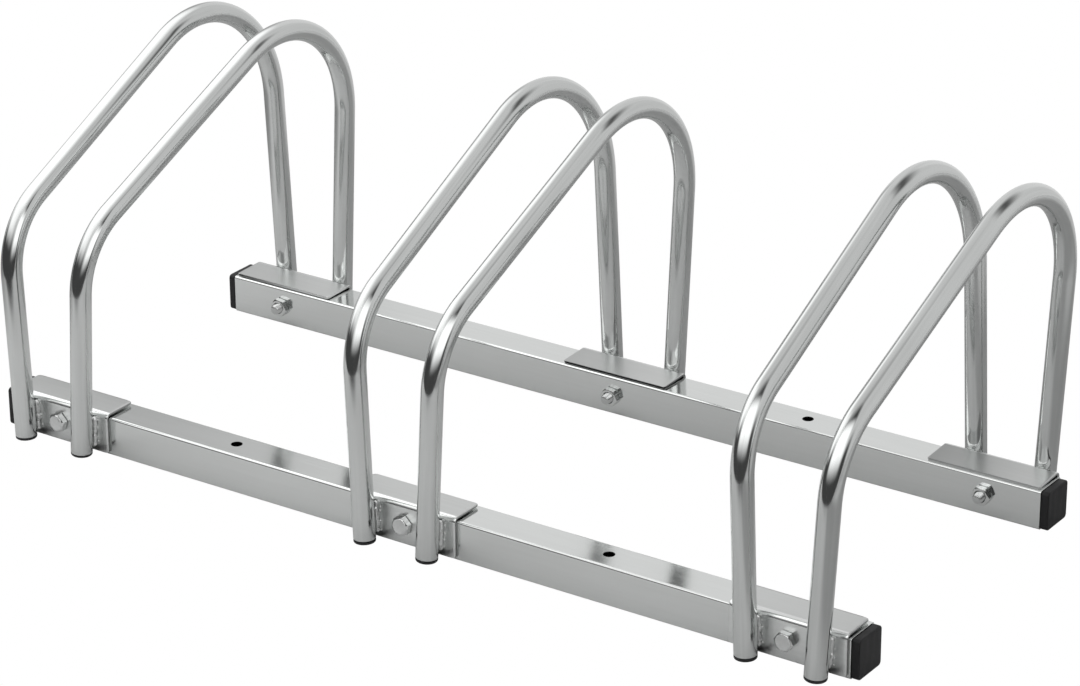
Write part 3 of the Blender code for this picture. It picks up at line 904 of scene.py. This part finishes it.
for side, side_turn in (("front", 0.0), ("rear", pi)):
    facing = 1 if side == "front" else -1
    middle = Matrix.Translation((0, CENTRE_Y * MM, 0))
    base = middle @ Matrix.Rotation(side_turn, 4, "Z") @ Matrix.Translation((0, -LEG_Y * MM, 0))
    bolts = [
        (facing * ((k - 1) * PITCH + BOLT_SHIFT[side][k]), BOLT_H + BOLT_LIFT[side][k])
        for k in range(3)
    ]
    at = base @ Matrix.Translation((0, (RAIL_IN + RAIL / 2) * MM, RAIL / 2 * MM))
    rail = rail_object(f"fine_{side}_rail", at, bolts, facing * ANCHOR_BACK)
    finish_piece(rail, f"{side}_rail", zinc_rail)
    for end, sign in (("left", -facing), ("right", facing)):
        node = f"{side}_rail_cap_{end}"
        turn = Matrix.Rotation(0 if sign > 0 else pi, 4, "Z")
        cap_at = at @ Matrix.Translation((sign * RAIL_LENGTH / 2 * MM, 0, 0)) @ turn
        cap = place(rail_cap_mesh(f"fine_{node}"), f"fine_{node}", matrix=cap_at)
        finish_piece(cap, node, black_cap)
    for index, holder in enumerate(HOLDERS):
        x = (index - 1) * PITCH * facing
        plate_at = base @ Matrix.Translation((x * MM, (RAIL_IN - GAP - PLATE) * MM, 0))
        node = f"{side}_bracket_{holder}"
        bolt_x, bolt_z = bolts[index]
        edge = (EDGE_LEAN[side][index], bolt_x - x, bolt_z, EDGE_RAW_AND_SHADE[side][index])
        edge += (EDGE_ENDS[side][index], EDGE_SAG[side][index], EDGE_SHORT[side][index])
        edge += (DARKER_TOP[side][index],)
        plate = bracket_object(f"fine_{node}", side, *edge)
        plate.data.transform(plate_at)
        finish_piece(plate, node, zinc_plate)
        weld = place(
            weld_mesh(f"fine_{node}_welds", side, index * 11.7 + side_turn),
            f"fine_{node}_welds",
            matrix=plate_at @ Matrix.Translation((facing * LEG_SHIFT * MM, 0, 0)),
        )
        finish_piece(weld, node, zinc_weld)

        node = f"{side}_bolt_{holder}"
        head_y = RAIL_IN - 2 * GAP - PLATE
        head_at = base @ Matrix.Translation((bolt_x * MM, head_y * MM, bolt_z * MM))
        turn = radians(BOLT_TURN[side][index])
        bolt = place(bolt_mesh(f"fine_{node}", turn), f"fine_{node}", matrix=head_at)
        # The rear bolts take the darker copy of the zinc, painted shade on their ends
        zinc_here = zinc_bolt if side == "front" else zinc_bolt_rear_shaded
        finish_piece(bolt, node, zinc_here)
        node = f"{side}_nut_{holder}"
        nut_y = RAIL_IN + RAIL + GAP
        nut_at = base @ Matrix.Translation((bolt_x * MM, nut_y * MM, bolt_z * MM))
        turn = radians(NUT_TURN[side][index])
        nut = place(nut_mesh(f"fine_{node}", turn), f"fine_{node}", matrix=nut_at)
        finish_piece(nut, node, zinc_bolt)


# ================================================================ floor, light and camera


def make_floor(name, z, size, material):
    bm = bmesh.new()
    bmesh.ops.create_grid(bm, x_segments=1, y_segments=1, size=size)
    mesh = bpy.data.meshes.new(name)
    bm.to_mesh(mesh)
    bm.free()
    obj = bpy.data.objects.new(name, mesh)
    obj.location = (0, 0, z)
    bpy.context.scene.collection.objects.link(obj)
    mesh.materials.append(material)
    return obj


def flat_white(name, strength):
    material = bpy.data.materials.new(name)
    material.use_nodes = True
    n = Nodes(material.node_tree)
    out = n.new("ShaderNodeOutputMaterial")
    glow = n.new("ShaderNodeEmission")
    glow.inputs["Color"].default_value = (1, 1, 1, 1)
    glow.inputs["Strength"].default_value = strength
    n.link(glow.outputs[0], out.inputs[0])
    return material


def slab_mask(n, value, half, soft):
    """1 where |value| is below half, falling softly to 0"""
    return n.ramp(n.math("ABSOLUTE", value), half - soft, half + soft, 1.0, 0.0)


def split_object_coordinates(n):
    split = n.new("ShaderNodeSeparateXYZ")
    n.link(n.new("ShaderNodeTexCoord").outputs["Object"], split.inputs[0])
    return split.outputs


def sheet_floor(name, sheet, shadow_tone):
    """A matt pale sheet in front of and under the stand; the greyer floor to its right and
    behind it is a painted shadow of the stand.

    sheet is how much light the sheet throws back, and shadow_tone how much the floor outside
    the sheet throws back, which makes the painted shadow; the floor ends in front, and rises
    into the pale wall behind.
    """
    material = bpy.data.materials.new(name)
    material.use_nodes = True
    n = Nodes(material.node_tree)
    out = n.new("ShaderNodeOutputMaterial")
    paper = n.new("ShaderNodeBsdfDiffuse")
    clear = n.new("ShaderNodeBsdfTransparent")
    both = n.new("ShaderNodeMixShader")
    x, y, _ = split_object_coordinates(n)
    # Outside the sheet the floor is greyer, and lighter again far to the right and behind: the grey band
    # between is a painted shadow of the stand
    inside = n.math(
        "MULTIPLY",
        n.math("MULTIPLY", n.ramp(x, -0.66, -0.46), n.ramp(x, 0.34, 0.44, 1.0, 0.0)),
        n.ramp(y, 0.13, 0.21, 1.0, 0.0),
    )
    outside = n.math("MAXIMUM", n.ramp(x, 0.56, 0.76), n.ramp(y, 0.42, 0.68))
    # The sheet is a little lighter towards the front
    lift = n.ramp(y, -0.35, 0.1, 0.03, -0.03, False)
    tone = n.math("ADD", n.math("MULTIPLY", inside, n.math("ADD", lift, sheet - shadow_tone)), shadow_tone)
    tone = n.math("ADD", tone, n.math("MULTIPLY", outside, 0.36))
    tone = n.math("ADD", tone, n.ramp(x, -0.80, -0.50, -0.16, 0.0))
    grey = n.new("ShaderNodeCombineColor")
    for channel in grey.inputs:
        n.link(tone, channel)
    n.link(grey.outputs[0], paper.inputs["Color"])
    rise = n.ramp(y, -0.55, -0.41)
    fall = n.ramp(y, 0.85, 1.15, 1.0, 0.0)
    n.link(n.math("MULTIPLY", rise, fall), both.inputs[0])
    n.link(clear.outputs[0], both.inputs[1])
    n.link(paper.outputs[0], both.inputs[2])
    n.link(both.outputs[0], out.inputs[0])
    return material


def light_panel(name, centre, bearing, pitch, half_w, half_h, soft, radiance):
    """Studio panel facing the stand; metal mirrors it, the camera doesn't see it."""
    yaw, pitch = radians(bearing), radians(pitch)
    away = Vector((sin(yaw) * cos(pitch), -cos(yaw) * cos(pitch), sin(pitch)))
    across = Vector((cos(yaw), sin(yaw), 0))
    up = away.cross(across)
    mesh = bpy.data.meshes.new(name)
    w, h = half_w + soft, half_h + soft
    mesh.from_pydata([(-w, -h, 0), (w, -h, 0), (w, h, 0), (-w, h, 0)], [], [(0, 1, 2, 3)])
    obj = bpy.data.objects.new(name, mesh)
    matrix = Matrix((across, up, away)).transposed().to_4x4()
    matrix.translation = Vector(centre)
    obj.matrix_world = matrix
    bpy.context.scene.collection.objects.link(obj)
    material = bpy.data.materials.new(name)
    material.use_nodes = True
    n = Nodes(material.node_tree)
    out = n.new("ShaderNodeOutputMaterial")
    glow = n.new("ShaderNodeEmission")
    clear = n.new("ShaderNodeBsdfTransparent")
    both = n.new("ShaderNodeMixShader")
    x, y, _ = split_object_coordinates(n)
    mask = n.math("MULTIPLY", slab_mask(n, x, half_w, soft), slab_mask(n, y, half_h, soft))
    glow.inputs["Strength"].default_value = radiance
    n.link(mask, both.inputs[0])
    n.link(clear.outputs[0], both.inputs[1])
    n.link(glow.outputs[0], both.inputs[2])
    n.link(both.outputs[0], out.inputs[0])
    mesh.materials.append(material)
    obj.visible_camera = False
    return obj


# Two sheets share the floor's place: the eye sees the white one, the metal mirrors the grey one.
seen_floor = make_floor("floor_seen", 0.0, 40.0, flat_white("floor_white", 1.0))
for flag in ("visible_diffuse", "visible_glossy", "visible_transmission", "visible_shadow"):
    setattr(seen_floor, flag, False)
# The grey floor carries a painted shadow of the stand to its right and behind it
lit_floor = make_floor("floor_lit", -0.0002, 3.0, sheet_floor("floor_sheet", 0.66, 0.46))
lit_floor.visible_camera = False

light_panel("soft_box_left", (-0.610, -0.033, 0.530), -74.7, 61.4, 0.417, 0.389, 0.20, 1.55)
light_panel("soft_box_front", (0.305, -0.448, 0.492), 9.9, 24.5, 0.421, 0.241, 0.15, 1.6)
light_panel("dark_flag_front", (0.635, -0.800, 0.740), -36.8, 47.4, 0.710, 0.812, 0.28, 0.08)
light_panel("wall_end_left", (-1.820, 1.300, 0.550), 180.0, 0.0, 0.580, 0.500, 0.30, 0.44)
light_panel("dark_flag_back", (0.487, 0.469, 0.889), 186.4, 35.5, 0.312, 0.185, 0.18, 0.12)


def studio(world):
    """Pale walls behind the stand and a dark room in front of it, by direction only."""
    world.use_nodes = True
    n = Nodes(world.node_tree)
    out = n.new("ShaderNodeOutputWorld")
    light = n.new("ShaderNodeBackground")
    seen = n.new("ShaderNodeBackground")
    choose = n.new("ShaderNodeMixShader")
    path = n.new("ShaderNodeLightPath")
    light.inputs["Color"].default_value = (1, 1, 1, 1)
    seen.inputs["Color"].default_value = (1, 1, 1, 1)
    n.link(path.outputs["Is Camera Ray"], choose.inputs[0])
    n.link(light.outputs[0], choose.inputs[1])
    n.link(seen.outputs[0], choose.inputs[2])
    n.link(choose.outputs[0], out.inputs[0])

    vector = n.new("ShaderNodeTexCoord").outputs["Generated"]
    split = n.new("ShaderNodeSeparateXYZ")
    n.link(vector, split.inputs[0])
    x, y, z = split.outputs
    # Bearing from the front (-Y) towards the right (+X), and height, both in degrees
    bearing = n.math("MULTIPLY", n.math("ARCTAN2", x, n.math("MULTIPLY", y, -1.0)), 180 / pi)
    height = n.math("MULTIPLY", n.math("ARCSINE", z), 180 / pi)

    def layer(base, mask, value):
        """base, replaced by value where mask is 1"""
        return n.math(
            "ADD",
            n.math("MULTIPLY", base, n.math("SUBTRACT", 1.0, mask)),
            n.math("MULTIPLY", mask, value),
        )

    walls = n.ramp(bearing, -1.0, 1.0, 0.80, 0.72)
    upper = n.ramp(bearing, -30.0, 20.0, 1.25, 0.75)
    room = n.ramp(height, 12.0, 40.0, 0.065, upper)
    front = n.math(
        "MULTIPLY", n.ramp(bearing, -97, -81), n.ramp(bearing, 76, 92, 1.0, 0.0)
    )
    total = layer(walls, front, room)
    total = layer(total, n.ramp(height, 48, 66), 0.74)
    n.link(total, light.inputs["Strength"])


world = bpy.data.worlds.new("studio")
bpy.context.scene.world = world
studio(world)

# Camera, at the bearing, height and distance found from the photo
AZIMUTH, ELEVATION, ROLL = radians(34.337), radians(23.454), radians(-0.356)
FOCAL = 3883.783  # in pixels of the 1080 px wide picture
POSITION = (1446.933 + LEG_SHIFT, -1951.858 - 146.9 + CENTRE_Y, 1206.381)


def add_camera():
    data = bpy.data.cameras.new("camera")
    camera = bpy.data.objects.new("camera", data)
    bpy.context.scene.collection.objects.link(camera)
    back = Vector(
        (sin(AZIMUTH) * cos(ELEVATION), -cos(AZIMUTH) * cos(ELEVATION), sin(ELEVATION))
    )
    right = Vector((cos(AZIMUTH), sin(AZIMUTH), 0))
    up = back.cross(right)
    right_r = right * cos(ROLL) + up * sin(ROLL)
    up_r = -right * sin(ROLL) + up * cos(ROLL)
    matrix = Matrix((right_r, up_r, back)).transposed().to_4x4()
    matrix.translation = Vector(POSITION) * MM
    camera.matrix_world = matrix
    data.sensor_fit = "HORIZONTAL"
    data.sensor_width = 36.0
    data.lens = FOCAL * 36.0 / 1080.0
    data.clip_start = 0.05
    data.clip_end = 200.0
    bpy.context.scene.camera = camera


add_camera()

view = bpy.context.scene.view_settings
view.view_transform = "Standard"
view.look = "None"
view.exposure = 0.0
view.gamma = 1.0

bpy.context.view_layer.update()
